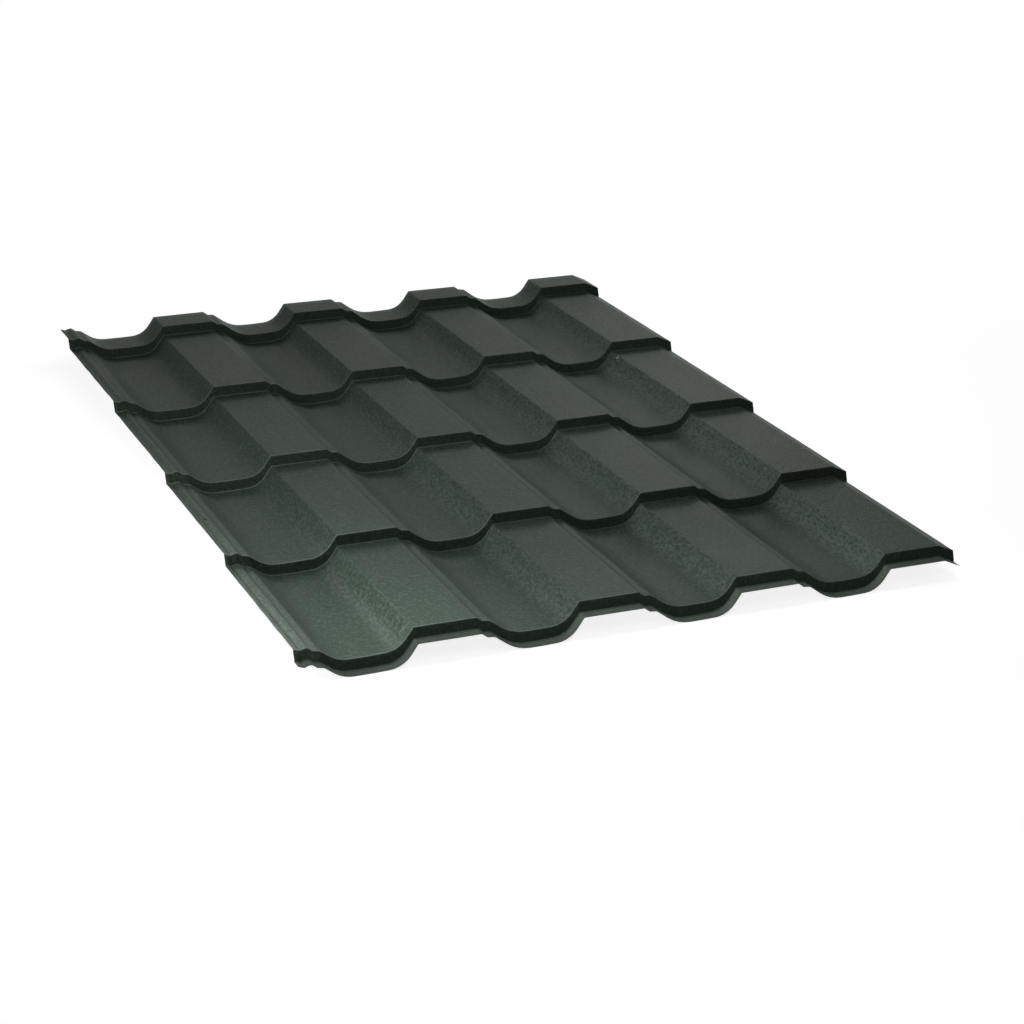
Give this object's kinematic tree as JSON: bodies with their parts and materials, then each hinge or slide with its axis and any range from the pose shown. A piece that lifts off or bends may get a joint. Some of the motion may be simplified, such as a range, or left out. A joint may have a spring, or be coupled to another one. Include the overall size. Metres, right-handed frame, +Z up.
{
  "type": "tile effect metal roofing sheet",
  "caption": "Thin pressed steel roofing sheet with tile waves and stepped courses, an underlap bead on one side and a cover flange on the other.",
  "frame": {"origin": "centre of the sheet's footprint on the floor it lies on", "axes": "+Z up, +Y up the roof towards the ridge, +X across the sheet from the underlap edge to the cover flange"},
  "size_m": [1.149, 1.4968, 0.0549],
  "materials": {
    "coated_steel": "matt, finely textured dark green coating"
  },
  "bodies": {
    "root": {"roofing_sheet": "coated_steel"}
  },
  "joints": []
}
